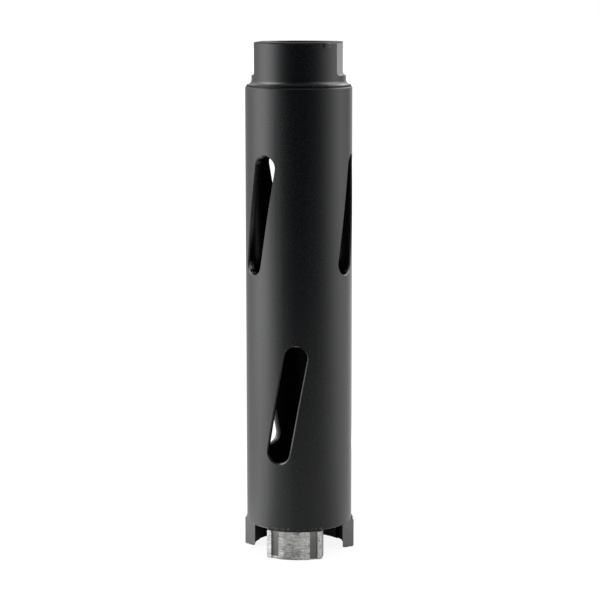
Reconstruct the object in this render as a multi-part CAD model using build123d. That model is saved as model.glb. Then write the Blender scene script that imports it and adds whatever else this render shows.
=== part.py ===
"""Dry diamond core bit with a threaded hub, a slotted steel barrel and welded diamond segments.

The bit stands on its segments with the hub up. +Z is the drilling axis, pointing out of the hub,
and the origin is on that axis at the tips of the segments. The spanner flats face +X and -X, and
angles are counted from the -Y side towards +X.
"""

from build123d import *
from math import asin, degrees, hypot
import os

os.makedirs("parts", exist_ok=True)

# Diamond segments (millimetres throughout)
cut_diameter = 38.0           # circle that the segments drill
segment_count = 3
first_segment_angle = 3.0     # middle of segment_1, in degrees
segment_length = 19.0         # across the outer face, between its parallel ends
segment_height = 10.0         # from the barrel's rim to the tip
segment_thickness = 3.5
segment_proud = 0.85          # how far the diamond body stands out of the barrel's outer wall
segment_root_height = 0.3     # plain base that is welded to the rim, flush with the barrel
segment_tip_chamfer = 0.4     # worn-in edge at the tip
outer_groove_width = 2.8      # two water and dust grooves in the outer face
outer_groove_depth = 0.7
outer_groove_offset = 6.7     # from the segment's middle to each groove's middle
inner_groove_width = 5.0      # one groove in the middle of the inner face
inner_groove_depth = 0.9

# Barrel
barrel_wall = 2.2
barrel_length = 150.0
barrel_top_chamfer = 0.4      # broken edge under the hub's foot
barrel_rim_chamfer = 0.25     # broken edge above the segments

# Dust slots: two rows round the barrel
slots_in_row = 3
slot_width = 7.9
slot_length = 41.0            # overall, with both round ends
slot_lean = 10.3              # degrees from the axis, over to the right at the top
slot_edge_chamfer = 0.4
lower_row_height = 43.4       # from the rim to the middle of the slots
upper_row_height = 107.1
lower_row_angle = -5.1        # middle of the first slot, in degrees
upper_row_angle = -41.1
last_slot_lag = 4.0           # the last slot of each row is cut this far past its even place

# Hub, with the internal pipe thread for the machine's adaptor
hub_diameter = 32.0
hub_height = 14.8             # above the barrel's top edge
hub_top_chamfer = 0.4
foot_fillet = 1.7             # sweep from the hub's round body out to its foot
foot_lip = 0.5                # short upright edge of the foot, above the barrel
flats_across = 28.0           # the spanner's size
flats_height = 11.2           # down from the top face
flats_corner_radius = 1.2     # left by the cutter at the bottom of each flat
spigot_length = 8.0           # the part of the hub that is held inside the barrel
spigot_gap = 0.05             # brazing gap round the spigot
spigot_chamfer = 0.6
thread_diameter = 20.955      # G 1/2 major diameter; the bore runs right through
thread_mouth_chamfer = 1.2
thread_exit_chamfer = 0.8

# Radii and heights that follow from the sizes above
segment_outer_radius = cut_diameter / 2
barrel_outer_radius = segment_outer_radius - segment_proud
barrel_inner_radius = barrel_outer_radius - barrel_wall
segment_inner_radius = segment_outer_radius - segment_thickness
rim_z = segment_height
shoulder_z = rim_z + barrel_length
top_z = shoulder_z + hub_height
hub_radius = hub_diameter / 2
foot_radius = hub_radius + foot_fillet
spigot_radius = barrel_inner_radius - spigot_gap
thread_radius = thread_diameter / 2

clear_of_part = 5.0           # how far a cutting tool runs on past the metal
same_place = 1e-4             # lengths nearer than this count as equal


def ring(outer_radius, inner_radius, bottom, top):
    """A plain ring about the axis, from the height bottom to the height top."""
    height = top - bottom
    to_bottom = Align.CENTER, Align.CENTER, Align.MIN
    wall = Cylinder(outer_radius, height, align=to_bottom) - Cylinder(inner_radius, height, align=to_bottom)
    return Pos(0, 0, bottom) * wall


def hub_section():
    """Half of the hub's turned section, as radius and height."""
    spigot_end = shoulder_z - spigot_length
    lip_top = shoulder_z + foot_lip
    fillet_top = lip_top + foot_fillet
    inside = Polyline(
        (hub_radius, fillet_top),
        (hub_radius, top_z - hub_top_chamfer),
        (hub_radius - hub_top_chamfer, top_z),
        (thread_radius + thread_mouth_chamfer, top_z),
        (thread_radius, top_z - thread_mouth_chamfer),
        (thread_radius, spigot_end + thread_exit_chamfer),
        (thread_radius + thread_exit_chamfer, spigot_end),
        (spigot_radius - spigot_chamfer, spigot_end),
        (spigot_radius, spigot_end + spigot_chamfer),
        (spigot_radius, shoulder_z),
        (foot_radius, shoulder_z),
        (foot_radius, lip_top),
    )
    foot_sweep = TangentArc((foot_radius, lip_top), (hub_radius, fillet_top), tangent=(-1, 0))
    return make_face(Plane.XZ * (inside + foot_sweep))


def flat_cutter(side):
    """What the milling cutter takes off one side of the hub, +1 for +X and -1 for -X."""
    depth = hub_radius - flats_across / 2 + clear_of_part
    height = flats_height + clear_of_part
    cutter = Box(depth, hub_diameter, height, align=(Align.MIN, Align.CENTER, Align.MIN))
    inner_bottom_edge = cutter.edges().filter_by(Axis.Y).group_by(Axis.Z)[0].sort_by(Axis.X)[0]
    cutter = fillet(inner_bottom_edge, flats_corner_radius)
    cutter = Pos(flats_across / 2, 0, top_z - flats_height) * cutter
    return cutter if side > 0 else Rot(0, 0, 180) * cutter


def make_hub():
    """Turned hub with its foot, spigot, two spanner flats and threaded bore."""
    return revolve(hub_section(), Axis.Z) - flat_cutter(+1) - flat_cutter(-1)


def slot_cutter(row_height, angle):
    """A leaning, round-ended slot through one wall of the barrel."""
    outline = Plane.XZ * Rot(0, 0, 90 - slot_lean) * SlotOverall(slot_length, slot_width)
    cutter = extrude(outline, barrel_outer_radius + clear_of_part)
    return Rot(0, 0, angle) * Pos(0, 0, rim_z + row_height) * cutter


def slot_cutters():
    """Every dust slot, row by row."""
    turns = [i * 360 / slots_in_row for i in range(slots_in_row)]
    turns[-1] += last_slot_lag
    rows = (lower_row_height, lower_row_angle), (upper_row_height, upper_row_angle)
    return [slot_cutter(height, start + turn) for height, start in rows for turn in turns]


def make_barrel():
    """Steel tube with two rows of dust slots and every outer edge broken."""
    section = Polyline(
        (barrel_inner_radius, rim_z),
        (barrel_outer_radius - barrel_rim_chamfer, rim_z),
        (barrel_outer_radius, rim_z + barrel_rim_chamfer),
        (barrel_outer_radius, shoulder_z - barrel_top_chamfer),
        (barrel_outer_radius - barrel_top_chamfer, shoulder_z),
        (barrel_inner_radius, shoulder_z),
        close=True,
    )
    tube = revolve(make_face(Plane.XZ * section), Axis.Z)
    plain_edges = tube.edges()
    for cutter in slot_cutters():
        tube = tube - cutter
    slot_edges = [e for e in tube.edges() if on_outer_wall(e) and not touches(e, plain_edges)]
    return chamfer(slot_edges, slot_edge_chamfer)


def on_outer_wall(edge):
    """True for an edge that lies on the barrel's outer surface."""
    points = [edge @ t for t in (0, 0.5, 1)]
    return all(abs(hypot(p.X, p.Y) - barrel_outer_radius) < same_place for p in points)


def touches(edge, others):
    """True where the edge is one that the tube had before its slots."""
    return any((edge.center() - other.center()).length < same_place for other in others)


def groove(width, radius_from, radius_to, angle):
    """An upright groove between two radii, open at the tip and closed by the root."""
    to_front = Align.CENTER, Align.MAX, Align.MIN
    height = segment_height - segment_root_height + clear_of_part
    bar = Pos(0, -radius_from, -clear_of_part) * Box(width, radius_to - radius_from, height, align=to_front)
    return Rot(0, 0, angle) * bar


def segment_blank(outer_radius, inner_radius, bottom, top):
    """A curved block centred on the -Y side, cut from a ring with parallel ends."""
    to_front = Align.CENTER, Align.MAX, Align.MIN
    window = Pos(0, 0, bottom) * Box(segment_length, outer_radius + clear_of_part, top - bottom, align=to_front)
    return ring(outer_radius, inner_radius, bottom, top) & window


def diamond_body():
    """The proud, grooved part of a segment, with the edge of its tip worn in."""
    root_z = segment_height - segment_root_height
    body = segment_blank(segment_outer_radius, segment_inner_radius, 0, root_z)
    body = chamfer(body.edges().group_by(Axis.Z)[0], segment_tip_chamfer)
    outer_angle = degrees(asin(outer_groove_offset / segment_outer_radius))
    outer_floor = segment_outer_radius - outer_groove_depth
    for angle in (-outer_angle, outer_angle):
        body -= groove(outer_groove_width, outer_floor, segment_outer_radius + clear_of_part, angle)
    inner_floor = segment_inner_radius + inner_groove_depth
    return body - groove(inner_groove_width, segment_inner_radius - clear_of_part, inner_floor, 0)


def make_segment():
    """One diamond segment: a root flush with the barrel and a proud, grooved body."""
    root_z = segment_height - segment_root_height
    root = segment_blank(barrel_outer_radius, barrel_inner_radius, root_z, rim_z)
    return diamond_body() + root


if __name__ == "__main__":
    export_step(make_hub(), "parts/hub.step")
    export_step(make_barrel(), "parts/barrel.step")
    segment = make_segment()
    for number in range(segment_count):
        angle = first_segment_angle + number * 360 / segment_count
        placed = Rot(0, 0, angle) * segment
        export_step(placed, f"parts/segment_{number + 1}.step")
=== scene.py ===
import bmesh
import bpy
from math import asin, cos, hypot, pi, radians, sin, sqrt, tau
from mathutils import Euler, Matrix, Vector
from random import Random


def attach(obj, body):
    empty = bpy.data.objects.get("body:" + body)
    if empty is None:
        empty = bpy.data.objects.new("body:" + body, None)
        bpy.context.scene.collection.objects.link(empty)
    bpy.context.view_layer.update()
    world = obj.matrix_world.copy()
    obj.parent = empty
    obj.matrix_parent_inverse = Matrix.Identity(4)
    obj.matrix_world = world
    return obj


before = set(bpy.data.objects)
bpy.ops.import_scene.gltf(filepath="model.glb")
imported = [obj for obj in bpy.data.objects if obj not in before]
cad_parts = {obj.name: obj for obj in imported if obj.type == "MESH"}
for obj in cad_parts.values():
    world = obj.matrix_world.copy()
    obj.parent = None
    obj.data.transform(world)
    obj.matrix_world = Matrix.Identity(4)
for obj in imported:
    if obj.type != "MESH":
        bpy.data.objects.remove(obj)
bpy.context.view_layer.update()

mm = 0.001

# Sizes of the frame's own parts, in metres, that the added pieces and the finishes go by
barrel_outer = 18.15 * mm
barrel_inner = 15.95 * mm
segment_outer = 19.0 * mm
segment_inner = 15.5 * mm
segment_half_length = 9.5 * mm
segment_angles = [radians(turn) for turn in (3, 123, 243)]
root_height = 9.7 * mm            # where the diamond body ends and the plain root begins
rim_height = 10.0 * mm
groove_middle = asin(6.7 / 19.0)  # angle from the segment's middle to each outer groove
groove_half_width = 1.4 * mm
outer_groove_floor = 18.3 * mm
inner_groove_floor = 16.4 * mm
inner_groove_half_width = 2.5 * mm
tip_chamfer = 0.4 * mm
shoulder_height = 160.0 * mm
spigot_end = 152.0 * mm
hub_top = 174.8 * mm
hub_outer = 16.0 * mm
bore_radius = 10.4775 * mm


def on_ring(radius, angle, height):
    """A point by its angle from the -Y side towards +X."""
    return Vector((radius * sin(angle), -radius * cos(angle), height))


# Finishes -----------------------------------------------------------------------------------

class Socket:
    """An output of a node, on which arithmetic adds Math nodes."""

    def __init__(self, finish, output):
        self.finish, self.output = finish, output

    def __getitem__(self, name):
        """Another output of the same node."""
        return Socket(self.finish, pick(self.output.node.outputs, name))

    def maths(self, operation, *others):
        """This value, with any others, through a Math node."""
        return self.finish.maths(operation, self, *others)

    def __add__(self, other):
        return self.maths("ADD", other)

    def __radd__(self, other):
        return self.finish.maths("ADD", other, self)

    def __sub__(self, other):
        return self.maths("SUBTRACT", other)

    def __rsub__(self, other):
        return self.finish.maths("SUBTRACT", other, self)

    def __mul__(self, other):
        return self.maths("MULTIPLY", other)

    def __rmul__(self, other):
        return self.finish.maths("MULTIPLY", other, self)

    def __truediv__(self, other):
        return self.maths("DIVIDE", other)

    def __rtruediv__(self, other):
        return self.finish.maths("DIVIDE", other, self)

    def __gt__(self, other):
        return self.maths("GREATER_THAN", other)

    def __lt__(self, other):
        return self.maths("LESS_THAN", other)

    def __abs__(self):
        return self.maths("ABSOLUTE")


def pick(sockets, name):
    """The socket with that place, identifier or name."""
    if isinstance(name, int):
        return sockets[name]
    return next(s for s in sockets if name in (s.identifier, s.name))


def colour(red, green, blue):
    return (red, green, blue, 1.0)


class Finish:
    """The nodes of a material or of the world."""

    def __init__(self, owner):
        owner.use_nodes = True
        self.owner, self.tree = owner, owner.node_tree
        self.tree.nodes.clear()

    def node(self, kind, settings=None, sockets=None):
        """Adds a node, sets it, fills or links its sockets, and gives its first output."""
        made = self.tree.nodes.new(kind)
        for name, value in (settings or {}).items():
            if name == "stops":
                ramp = made.color_ramp.elements
                while len(ramp) < len(value):
                    ramp.new(1.0)
                for stop, (at, grey) in zip(ramp, value):
                    stop.position, stop.color = at, colour(grey, grey, grey)
            else:
                setattr(made, name, value)
        for name, value in (sockets or {}).items():
            socket = pick(made.inputs, name)
            if isinstance(value, Socket):
                self.tree.links.new(value.output, socket)
            else:
                socket.default_value = value
        return Socket(self, made.outputs[0]) if made.outputs else None

    def maths(self, operation, *values):
        return self.node("ShaderNodeMath", {"operation": operation}, dict(enumerate(values)))

    def place(self):
        """The point on the surface, in metres in the frame."""
        return self.node("ShaderNodeTexCoord")["Object"]

    def axes(self, vector):
        """The three numbers of a vector or a colour."""
        split = self.node("ShaderNodeSeparateXYZ", None, {"Vector": vector})
        return split["X"], split["Y"], split["Z"]

    def vectors(self, operation, first, second):
        return self.node("ShaderNodeVectorMath", {"operation": operation}, {0: first, 1: second})

    def clouds(self, vector, size, detail=2.0, sharpness=0.5):
        """Soft noise from 0 to 1 whose features are about that size in metres."""
        return self.node("ShaderNodeTexNoise", None, {
            "Vector": vector, "Scale": 1 / size, "Detail": detail, "Roughness": sharpness})

    def streaks(self, vector, around, along, detail, sharpness):
        """Noise drawn out round the bit, with so many features a metre level and upright."""
        return self.clouds(self.vectors("MULTIPLY", vector, (around, around, along)), 1.0, detail, sharpness)

    def cells(self, vector, size):
        """Voronoi cells about that size in metres: the distance to the middle, and each cell's own number."""
        made = self.node("ShaderNodeTexVoronoi", None, {"Vector": vector, "Scale": 1 / size})
        return made, self.axes(made["Color"])[0]

    def rise(self, value, start, end):
        """0 below start, 1 above end and smooth between, or falling where end is the lower one."""
        return self.node("ShaderNodeMapRange", {"interpolation_type": "SMOOTHSTEP"}, {
            "Value": value, "From Min": start, "From Max": end})

    def blend(self, factor, first, second):
        """One colour over another."""
        return self.node("ShaderNodeMix", {"data_type": "RGBA"}, {
            "Factor": factor, "A_Color": first, "B_Color": second})["Result_Color"]

    def tinted(self, tone, factor):
        """A colour made lighter or darker by a value."""
        return self.node("ShaderNodeVectorMath", {"operation": "SCALE"}, {0: tone, "Scale": factor})

    def bump(self, height, depth):
        """A surface normal from a height of 0 to 1, which is that deep in metres."""
        return self.node("ShaderNodeBump", None, {"Height": height, "Strength": 1.0, "Distance": depth})

    def principled(self, sockets):
        return self.node("ShaderNodeBsdfPrincipled", None, sockets)

    def matte(self, tone):
        return self.node("ShaderNodeBsdfDiffuse", None, {"Color": tone})

    def mixed(self, factor, first, second):
        """One shader over another."""
        return self.node("ShaderNodeMixShader", None, {0: factor, 1: first, 2: second})

    def surface(self, shader):
        self.node("ShaderNodeOutputMaterial", None, {"Surface": shader})
        return self.owner


def satin_black_paint(name):
    """Sprayed satin black with a faint orange peel, a few dust nibs and one run under the hub's top edge.
    Inside the barrel, in the crease below the hub's foot and on the hub's brim it turns to a matte
    near-black, a painted shade that also takes the brim's highlight away."""
    inner_skin = 17.2 * mm, 16.6 * mm               # radii between the wall's outside and its inside
    below_hub = shoulder_height - 0.1 * mm, shoulder_height - 0.5 * mm
    brim_band = hub_top - 0.50 * mm, hub_top - 0.35 * mm
    seam_height, seam_band = shoulder_height + 0.12 * mm, (0.50 * mm, 0.20 * mm)
    nib_size, rarest_nibs = (0.12, 0.04), 0.96
    run_place = on_ring(hub_outer, radians(45), hub_top - 0.9 * mm)
    run_flattened, run_wander, run_band = (1, 1, 1.7), 0.8 * mm, (2.4 * mm, 1.4 * mm)
    peel_depth, nib_rise, run_rise = 0.004 * mm, 0.4, 60     # the rises are in depths of the peel
    deep_black, soft_black = colour(0.0012, 0.0020, 0.0031), colour(0.0018, 0.0028, 0.0040)
    painted_shade_dark, painted_shade_light = colour(0.0016, 0.0016, 0.0016), colour(0.0026, 0.0025, 0.0024)

    paint = Finish(bpy.data.materials.new(name))
    place = paint.place()
    x, y, z = paint.axes(place)
    radius = (x * x + y * y).maths("SQRT")
    # Painted shade: these masks mark where the satin turns to matte near-black: inside the barrel, in the
    # crease under the hub's foot, and over the brim's highlight
    inside = paint.rise(radius, *inner_skin) * paint.rise(z, *below_hub)
    seam = paint.rise(abs(z - seam_height), *seam_band) * (1 - inside)
    brim = paint.rise(z, *brim_band)

    drift = paint.clouds(place, size=14 * mm, detail=3.0)
    fine_mottle = paint.clouds(place, size=0.6 * mm)
    peel = paint.clouds(place, size=2.6 * mm, detail=1.0)
    from_speck, speck = paint.cells(place, size=1.3 * mm)
    nib = paint.rise(from_speck, *nib_size) * (speck > rarest_nibs)
    near_run = paint.vectors("MULTIPLY", paint.vectors("SUBTRACT", place, run_place), run_flattened)
    from_run = paint.node("ShaderNodeVectorMath", {"operation": "LENGTH"}, {0: near_run})["Value"]
    run = paint.rise(from_run + run_wander * peel, *run_band)

    gloss = paint.principled({
        "Base Color": paint.blend(drift, deep_black, soft_black),
        "Roughness": 0.23 + 0.05 * drift + 0.03 * fine_mottle,
        "IOR": 1.6,
        "Normal": paint.bump(peel + nib_rise * nib + run_rise * run, peel_depth)})
    # Painted shade: the matte near-black laid inside the barrel, in the seam under the hub and on the brim
    painted_shade_matte = paint.matte(paint.blend(fine_mottle, painted_shade_dark, painted_shade_light))
    return paint.surface(paint.mixed(0.8 * inside + 0.6 * seam + 0.5 * brim, gloss, painted_shade_matte))


def oiled_thread_steel():
    """Cut steel under a film of oil."""
    wet_steel, dry_steel = colour(0.20, 0.19, 0.175), colour(0.34, 0.33, 0.31)

    steel = Finish(bpy.data.materials.new("oiled_thread_steel"))
    place = steel.place()
    cut_marks = steel.streaks(place, around=60.0, along=9000.0, detail=2.0, sharpness=0.5)
    oil = steel.clouds(place, size=4 * mm, detail=3.0)
    return steel.surface(steel.principled({
        "Base Color": steel.blend(oil, wet_steel, dry_steel),
        "Metallic": 0.9,
        "Roughness": 0.26 + 0.2 * oil,
        "Normal": steel.bump(cut_marks, depth=0.006 * mm)}))


def dressed_segment_metal(name, angle, overspray):
    """Sintered metal: dressed bright on its outer face and tip, dull at its ends and in its grooves, where
    the paint's overspray fell, and matte near-black on the inside, which is a painted shade."""
    # Where each mask starts and is full: radii, distances across from the segment's middle, and heights
    land_skin = 18.55 * mm, 18.75 * mm
    outer_half, inner_half = (17.6 * mm, 17.9 * mm), (17.6 * mm, 17.2 * mm)
    end_face = 9.42 * mm, 9.47 * mm
    left_land_band, left_side_band = (-7.9 * mm, -8.1 * mm), (-3.3 * mm, -4.3 * mm)
    trailing_side, tip_side = (1.6 * mm, 2.6 * mm), (2.0 * mm, 0.0)
    diamond_body, tarnished = (9.98 * mm, 9.70 * mm), (4.4 * mm, 2.6 * mm)
    worn_tip, bare_tip = (1.10 * mm, 0.75 * mm), (0.40 * mm, 0.25 * mm)
    # Colours, and how far they may be lightened
    cobalt, bronze = colour(0.37, 0.37, 0.365), colour(0.47, 0.458, 0.43)
    pit_black = colour(0.05, 0.048, 0.046)
    dull_dark, dull_light = colour(0.135, 0.135, 0.136), colour(0.175, 0.173, 0.17)
    inner_shade_dark, inner_shade_light = colour(0.0018, 0.0018, 0.0018), colour(0.0032, 0.0031, 0.003)
    lightest, lighter_upward = 2.0, 0.035 / mm

    metal = Finish(bpy.data.materials.new(name))
    place = metal.place()
    x, y, z = metal.axes(place)
    radius = (x * x + y * y).maths("SQRT")
    across = cos(angle) * x + sin(angle) * y
    ragged = metal.clouds(place, size=0.9 * mm, detail=4.0, sharpness=0.65) - 0.5

    end = metal.rise(abs(across), *end_face)
    land = metal.rise(radius + 0.30 * mm * ragged, *land_skin)
    body = metal.rise(z + 0.4 * mm * ragged, *diamond_body)
    worn_corner = (metal.rise(z + 0.9 * mm * ragged, *worn_tip) * metal.rise(across, *tip_side)
                   * metal.rise(radius, *outer_half) * (1 - end))
    tip = worn_corner.maths("MAXIMUM", metal.rise(z, *bare_tip) * (1 - end))
    bare = (land * body * (1 - end)).maths("MAXIMUM", tip)
    # Painted shade: the inner half of the segment is turned to matte near-black for the shade inside the bit
    inner_painted_shade = metal.rise(radius, *inner_half) * (1 - end)

    # Bronze and cobalt powder, pressed and sintered, then dressed with strokes round the bit
    patches = metal.clouds(place, size=2.6 * mm, detail=4.0, sharpness=0.6)
    grain = metal.clouds(place, size=0.30 * mm, detail=3.0, sharpness=0.7)
    marks = metal.streaks(place, around=260.0, along=3600.0, detail=4.0, sharpness=0.7)
    stroke = metal.rise(marks, start=0.40, end=0.62)
    smears = metal.streaks(place, around=700.0, along=1500.0, detail=3.0, sharpness=0.6)
    blotch = metal.rise(smears, start=0.42, end=0.60)
    polished = metal.rise(across + 1.5 * mm * ragged, *trailing_side)
    # Painted highlight: the left side of each segment's face, towards the strong left light, gets lighter
    # strokes, and its first land is lighter and more metallic
    left_side_painted_highlight = metal.rise(across + 1.2 * mm * ragged, *left_side_band)
    left_land_painted_highlight = metal.rise(across, *left_land_band) * land
    tarnish = metal.rise(z + 2.0 * mm * ragged, *tarnished) * (1 - polished)
    from_pit, cell = metal.cells(place, size=0.55 * mm)
    pit = metal.rise(from_pit, start=0.55, end=0.35) * (cell < 0.09)

    powder = metal.blend(metal.rise(patches, start=0.42, end=0.62), cobalt, bronze)
    # Painted highlight in this sum: the left side's strokes and the first land on the left are lifted
    dressed = (0.62 + 0.20 * grain + 0.30 * stroke + 0.34 * blotch * (stroke + 0.5) + 0.40 * polished
               + 0.90 * left_side_painted_highlight * stroke + 0.60 * left_land_painted_highlight - 0.22 * tarnish * (1 - left_side_painted_highlight))
    bright = metal.blend(0.80 * pit, metal.tinted(powder, dressed.maths("MINIMUM", lightest)), pit_black)
    # The dull grey is lighter towards the top, varies with the grain, and is darker where more overspray fell
    dull_level = (0.72 + lighter_upward * z + 0.35 * grain) * (1 - 0.2 * overspray)
    dull = metal.tinted(metal.blend(patches, dull_dark, dull_light), dull_level)
    scratches = 0.45 * grain + 0.9 * stroke - 1.2 * pit
    solid = metal.principled({
        "Base Color": metal.blend(bare, dull, bright),
        "Metallic": 0.12 + 0.20 * bare + 0.50 * left_land_painted_highlight * bare,
        "Roughness": 0.44 + 0.14 * grain - 0.08 * bare * stroke,
        "Normal": metal.bump(scratches * bare + 0.30 * (1 - bare) * grain, depth=0.030 * mm)})
    # Painted shade: the near-black for the segment's inside
    inner_shade_matte = metal.matte(metal.blend(grain, inner_shade_dark, inner_shade_light))
    return metal.surface(metal.mixed(0.92 * inner_painted_shade, solid, inner_shade_matte))


def diamond_grit():
    """Synthetic diamond grit, yellow-grey and clear."""
    yellow, grey = colour(0.28, 0.27, 0.22), colour(0.42, 0.42, 0.39)

    grit = Finish(bpy.data.materials.new("diamond_grit"))
    place = grit.place()
    return grit.surface(grit.principled({
        "Base Color": grit.blend(grit.clouds(place, size=1.4 * mm, detail=1.0), yellow, grey),
        "Roughness": 0.22 + 0.15 * grit.clouds(place, size=0.2 * mm),
        "IOR": 1.8}))


# Added pieces -------------------------------------------------------------------------------

def put(name, data):
    """A new object in the scene with that mesh, lamp or camera."""
    thing = bpy.data.objects.new(name, data)
    bpy.context.scene.collection.objects.link(thing)
    return thing


def mesh_object(name, points, faces, material):
    mesh = bpy.data.meshes.new(name)
    mesh.from_pydata(points, [], faces)
    mesh.materials.append(material)
    return put(name, mesh)


def piece(name, points, faces, material, slot):
    """A mesh in the frame's own place that goes with the bit."""
    thing = mesh_object(name, points, faces, material)
    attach(thing, "root")
    return thing


def skin(loops):
    """Points and faces of a closed skin over a row of equal loops, capped at both ends."""
    count = len(loops[0])
    faces = []
    for i in range(len(loops) - 1):
        for j in range(count):
            a, b = i * count + j, i * count + (j + 1) % count
            faces.append((a, b, b + count, a + count))
    faces.append(tuple(reversed(range(count))))
    faces.append(tuple((len(loops) - 1) * count + j for j in range(count)))
    return [p for loop in loops for p in loop], faces


def thread_ridge(material):
    """The hub's internal G 1/2 pipe thread, 14 to the inch with 55 degree flanks."""
    pitch, crest, buried = 1.814 * mm, 9.3155 * mm, 0.08 * mm
    first, last = spigot_end + 1.6 * mm, hub_top - 1.7 * mm
    steps_a_turn, run_out = 72, 0.35
    # The ridge's section: millimetres along the axis, and the share of its height
    section = [(-0.74, 0.0), (-0.70, 0.05), (-0.22, 0.86), (-0.13, 0.965), (0.0, 1.0),
               (0.13, 0.965), (0.22, 0.86), (0.70, 0.05), (0.74, 0.0)]

    turns = (last - first) / pitch
    foot = bore_radius + buried
    loops = []
    for i in range(int(turns * steps_a_turn) + 1):
        turn = i / steps_a_turn
        full = max(0.0, min(1.0, turn / run_out, (turns - turn) / run_out))
        loops.append([on_ring(foot - (foot - crest) * proud * full, tau * turn,
                              first + pitch * turn + along * mm) for along, proud in section])
    piece("hub_thread", *skin(loops), material, "hub_paint").data.shade_smooth()


def weld_bead(name, radius, outward, seed, angle, material):
    """A narrow rippled bead along the joint between a segment and the rim."""
    half_height, proud, buried, ripple = 0.62 * mm, 0.34 * mm, 0.10 * mm, 0.42 * mm
    middle, sway = rim_height + 0.22 * mm, 0.06 * mm
    taper, blunt_end = 0.8 * mm, 0.15
    wander_count, steps_a_ripple, arc_steps = 40, 6, 8
    tucked = 0.8                     # share of the bead's height that its buried back keeps

    draw = Random(seed)
    wander = [draw.uniform(-1, 1) for _ in range(wander_count)]
    half_angle = asin(segment_half_length / radius)
    length = 2 * half_angle * radius
    steps = int(length / (ripple / steps_a_ripple))
    loops = []
    for i in range(steps + 1):
        share = i / steps
        at = share * (wander_count - 1.001)
        k, part = int(at), at - int(at)
        drift = wander[k] * (1 - part) + wander[k + 1] * part
        scallop = abs(sin(pi * share * length / ripple))
        ends = min(1.0, blunt_end + min(share, 1 - share) * length / taper)
        lift = proud * ends * (0.70 + 0.30 * scallop + 0.18 * drift)
        tall = half_height * ends * (1 + 0.12 * drift + 0.06 * scallop)
        turn = angle + (2 * share - 1) * half_angle
        loop = []
        for j in range(arc_steps + 1):
            sweep = pi * j / arc_steps
            loop.append(on_ring(radius + outward * lift * sin(sweep), turn,
                                middle + sway * drift - tall * cos(sweep)))
        loop.append(on_ring(radius - outward * buried, turn, middle + tucked * tall))
        loop.append(on_ring(radius - outward * buried, turn, middle - tucked * tall))
        loops.append(loop if outward > 0 else loop[::-1])
    piece(name, *skin(loops), material, "barrel_paint").data.shade_smooth()


def crystal():
    """Points and faces of a truncated octahedron of radius 1, the shape of saw-grade grit."""
    shape = bmesh.new()
    for a in (-1, 1):
        for b in (-2, 2):
            for point in ((0, a, b), (0, b, a), (a, 0, b), (b, 0, a), (a, b, 0), (b, a, 0)):
                shape.verts.new(Vector(point) / sqrt(5))
    bmesh.ops.convex_hull(shape, input=shape.verts)
    bmesh.ops.dissolve_limit(shape, angle_limit=radians(2), verts=shape.verts, edges=shape.edges)
    shape.verts.index_update()
    points = [v.co.copy() for v in shape.verts]
    faces = [tuple(v.index for v in f.verts) for f in shape.faces]
    shape.free()
    return points, faces


def in_groove(point):
    """True where a point, given from the segment's middle, lies over one of its grooves."""
    clear_of_side, clear_of_floor = 0.15 * mm, 0.2 * mm
    radius = hypot(point.x, point.y)
    for side in (-1, 1):
        across = point.x * cos(side * groove_middle) + point.y * sin(side * groove_middle)
        if abs(across) < groove_half_width + clear_of_side and radius > outer_groove_floor - clear_of_floor:
            return True
    return abs(point.x) < inner_groove_half_width and radius < inner_groove_floor + clear_of_floor


def grit_places(draw):
    """Where grains show on a segment centred at the front, as points and outward directions."""
    face_tries, tip_tries, spacing = 900, 400, 1.0 * mm
    end_margin, tip_margin, root_margin, skin_margin = 0.35 * mm, 0.3 * mm, 0.4 * mm, 0.7 * mm
    places = []

    def try_at(point, out):
        clear = all((point - other).length > spacing for other, _ in places)
        if clear and abs(point.x) < segment_half_length - end_margin and not in_groove(point):
            places.append((point, out))

    reach = asin(segment_half_length / segment_outer)
    for _ in range(face_tries):
        turn = draw.uniform(-reach, reach)
        height = draw.uniform(tip_chamfer + tip_margin, root_height - root_margin)
        try_at(on_ring(segment_outer, turn, height), on_ring(1, turn, 0))
    for _ in range(tip_tries):
        turn = draw.uniform(-reach, reach)
        radius = draw.uniform(segment_inner + skin_margin, segment_outer - skin_margin)
        try_at(on_ring(radius, turn, 0), Vector((0, 0, -1)))
    return places


def diamond_grains(name, angle, seed, material):
    """Grit that the dressed faces of one segment have laid open."""
    grain_radius, shown_on_face, shown_on_tip = (0.13, 0.20), (0.04, 0.09), 0.04     # millimetres

    draw = Random(seed)
    unit_points, unit_faces = crystal()
    points, faces = [], []
    around = Matrix.Rotation(angle, 4, "Z")
    for point, out in grit_places(draw):
        size = draw.uniform(*grain_radius) * mm
        shown = (draw.uniform(*shown_on_face) if out.z == 0 else shown_on_tip) * mm
        turned = Euler([draw.uniform(0, tau) for _ in range(3)]).to_matrix()
        start = len(points)
        middle = point - out * (size - shown)
        points += [around @ (middle + size * (turned @ corner)) for corner in unit_points]
        faces += [tuple(start + k for k in face) for face in unit_faces]
    piece(name, points, faces, material, "segment_metal").data.shade_flat()


# Studio -------------------------------------------------------------------------------------

bit_middle = 90 * mm
brightest = 3.0                   # level of the strongest soft light, where 1 shows a colour as written


def soft_box(name, azimuth, elevation, distance, side, radiance):
    """A square light at angles in degrees, round from the -Y side towards +X and up, aimed at the bit."""
    lamp = bpy.data.lights.new(name, "AREA")
    lamp.shape, lamp.size, lamp.size_y = "RECTANGLE", side, side
    lamp.energy = radiance * pi * side * side
    thing = put(name, lamp)
    thing.location = on_ring(distance * cos(radians(elevation)), radians(azimuth),
                             bit_middle + distance * sin(radians(elevation)))
    aim = Vector((0, 0, bit_middle)) - thing.location
    thing.rotation_euler = aim.to_track_quat("-Z", "Y").to_euler()
    thing.visible_camera = False


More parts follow.
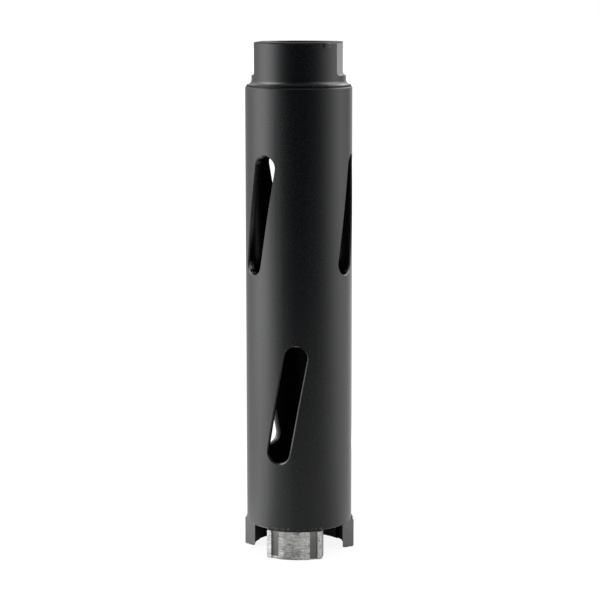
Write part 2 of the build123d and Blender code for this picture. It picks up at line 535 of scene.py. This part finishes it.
def seen(finish):
    """1 for what the camera sees straight, in a gloss, and through glass."""
    path = finish.node("ShaderNodeLightPath")
    return path["Is Camera Ray"], path["Is Glossy Ray"], path["Is Transmission Ray"]


def light_round(finish, place):
    """How bright the studio is at each angle round the bit: a large soft light on either hand, the
    strong one on the left, with a pale backdrop behind and the dark room in front."""
    levels = [(-171, 0.58), (-137, 0.58), (-118, 0.84), (-106, 1.45), (-96, 2.05), (-80, 3.00),
              (-63, 2.60), (-48, 1.15), (-33, 0.27), (-15, 0.03), (20, 0.03), (44, 0.12), (64, 0.32),
              (82, 0.78), (104, 1.30), (120, 1.10), (141, 0.85), (160, 1.05), (174, 1.04)]
    stops = [((degrees_round + 180) / 360, level / brightest) for degrees_round, level in levels]
    x, y, _ = finish.axes(place)
    turn = x.maths("ARCTAN2", -1 * y) / tau + 0.5
    return brightest * finish.node("ShaderNodeValToRGB", {"stops": stops}, {0: turn})


def round_screen():
    """The soft lights and the pale backdrop, as one lit screen round the bit that the camera looks through.
    It is brighter above, most of all on the right, and below it dips at the front right."""
    sides, radius, low, high = 96, 0.85, -0.01, 1.20
    upper_part, towards_right, front_right, right_side = (0.30, 0.60), (-0.2, 0.5), (0.1, 0.5), (0.60, 0.82)

    cloth = Finish(bpy.data.materials.new("lit_screen"))
    place = cloth.place()
    x, _, z = cloth.axes(place)
    upper = cloth.rise(z, *upper_part) * (1.1 + 1.2 * cloth.rise(x, *towards_right))
    level = 0.88 - 0.22 * cloth.rise(x, *front_right) + 0.45 * cloth.rise(x, *right_side)
    strength = light_round(cloth, place) * (level + upper)
    material = cloth.surface(cloth.node("ShaderNodeEmission", None, {"Strength": strength}))
    material.cycles.emission_sampling = "NONE"

    points = [on_ring(radius, tau * i / sides, height) for i in range(sides) for height in (low, high)]
    count = len(points)
    faces = [(i, i + 1, (i + 3) % count, (i + 2) % count) for i in range(0, count, 2)]
    screen = mesh_object("round_screen", points, faces, material)
    screen.visible_camera = False


def white_floor():
    """A white table whose gloss is painted: for gloss rays it glows with a painted reflection of the soft
    lights, which shows low in the barrel's gloss.
    """
    far, level = 6.0, -0.06 * mm
    close_by, well_clear = (0.65, 0.05), (0.22, 0.50)            # metres from the bit's axis
    left_part, front_part = (0.0, -0.30), (-0.30, -0.85)         # shares of that distance
    paper_white, paper_in_view, paper_in_gloss = (colour(grey, grey, grey) for grey in (0.70, 0.11, 0.03))

    top = Finish(bpy.data.materials.new("white_table"))
    direct, gloss, clear = seen(top)
    place = top.place()
    x, y, _ = top.axes(place)
    away = (x * x + y * y).maths("SQRT")
    near = top.rise(away, *close_by)
    front_left = top.rise(x / away, *left_part) * top.rise(y / away, *front_part)
    # Painted reflection: the soft lights and a brighter front left, as a glow seen only by gloss rays
    painted_reflection = (light_round(top, place) * (0.95 - 0.40 * near) + 0.31 * near
                + (0.10 + 0.09 * near) * front_left)
    white = 0.90 + 0.11 * top.rise(away, *well_clear)
    glow = top.node("ShaderNodeEmission", None, {
        "Color": colour(1, 1, 1), "Strength": white * (direct + clear) + painted_reflection * gloss})
    paper = top.matte(top.blend(gloss, top.blend(direct + clear, paper_white, paper_in_view), paper_in_gloss))
    material = top.surface(top.node("ShaderNodeAddShader", None, {0: glow, 1: paper}))
    material.cycles.emission_sampling = "NONE"

    corners = [(-far, -far, level), (far, -far, level), (far, far, level), (-far, far, level)]
    mesh_object("floor", corners, [(0, 1, 2, 3)], material)


def white_surround():
    """White to the camera all round, and a dim room above the screen."""
    towards_back, fill = (-0.25, 0.70), 1.5

    world = bpy.data.worlds.new("studio")
    bpy.context.scene.world = world
    world.cycles.sampling_method = "NONE"
    sky = Finish(world)
    direct, gloss, clear = seen(sky)
    _, y, _ = sky.axes(sky.node("ShaderNodeTexCoord")["Generated"])
    behind = sky.rise(y, *towards_back)
    strength = (direct + clear) + gloss * (0.05 + 0.85 * behind) + (1 - direct - gloss - clear) * fill
    sky.node("ShaderNodeOutputWorld", None, {"Surface": sky.node("ShaderNodeBackground", None, {
        "Color": colour(1, 1, 1), "Strength": strength})})


def camera():
    """A long lens from a little above the hub's top, to the right of the bit's front."""
    round_to, away, height = radians(8.6), 0.6703, 0.1918
    down, swing, roll = radians(8.9), radians(-0.028), radians(-0.065)

    lens = bpy.data.cameras.new("camera")
    lens.sensor_width, lens.lens = 36.0, 118.6
    thing = put("camera", lens)
    thing.location = on_ring(away, round_to, height)
    turned = Euler((pi / 2 - down, 0, round_to + swing)).to_matrix()
    thing.rotation_euler = (turned @ Matrix.Rotation(roll, 3, "Z")).to_euler()
    bpy.context.scene.camera = thing


camera()
white_surround()
white_floor()
round_screen()
soft_box("top_soft_box", azimuth=-12, elevation=78, distance=0.80, side=0.60, radiance=0.18)
bpy.context.scene.view_settings.view_transform = "Standard"

# The bit ------------------------------------------------------------------------------------

segment_overspray = (0, 0, 1)     # the third segment took more of it
outer_weld_seed, inner_weld_seed, grit_seed = 10, 20, 30

hub_black = satin_black_paint("satin_black_hub")
barrel_black = satin_black_paint("satin_black_barrel")
thread_steel, grit = oiled_thread_steel(), diamond_grit()
finishes = {"hub": hub_black, "barrel": barrel_black}
for number, (angle, overspray) in enumerate(zip(segment_angles, segment_overspray), start=1):
    finishes[f"segment_{number}"] = dressed_segment_metal(
        f"dressed_diamond_metal_{number}", angle, overspray)
for name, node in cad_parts.items():
    for slot in node.material_slots:
        slot.material = finishes[name]

thread_ridge(thread_steel)
for number, angle in enumerate(segment_angles, start=1):
    weld_bead(f"outer_weld_{number}", barrel_outer, 1, outer_weld_seed + number, angle, barrel_black)
    weld_bead(f"inner_weld_{number}", barrel_inner, -1, inner_weld_seed + number, angle, barrel_black)
    diamond_grains(f"grit_{number}", angle, grit_seed + number, grit)
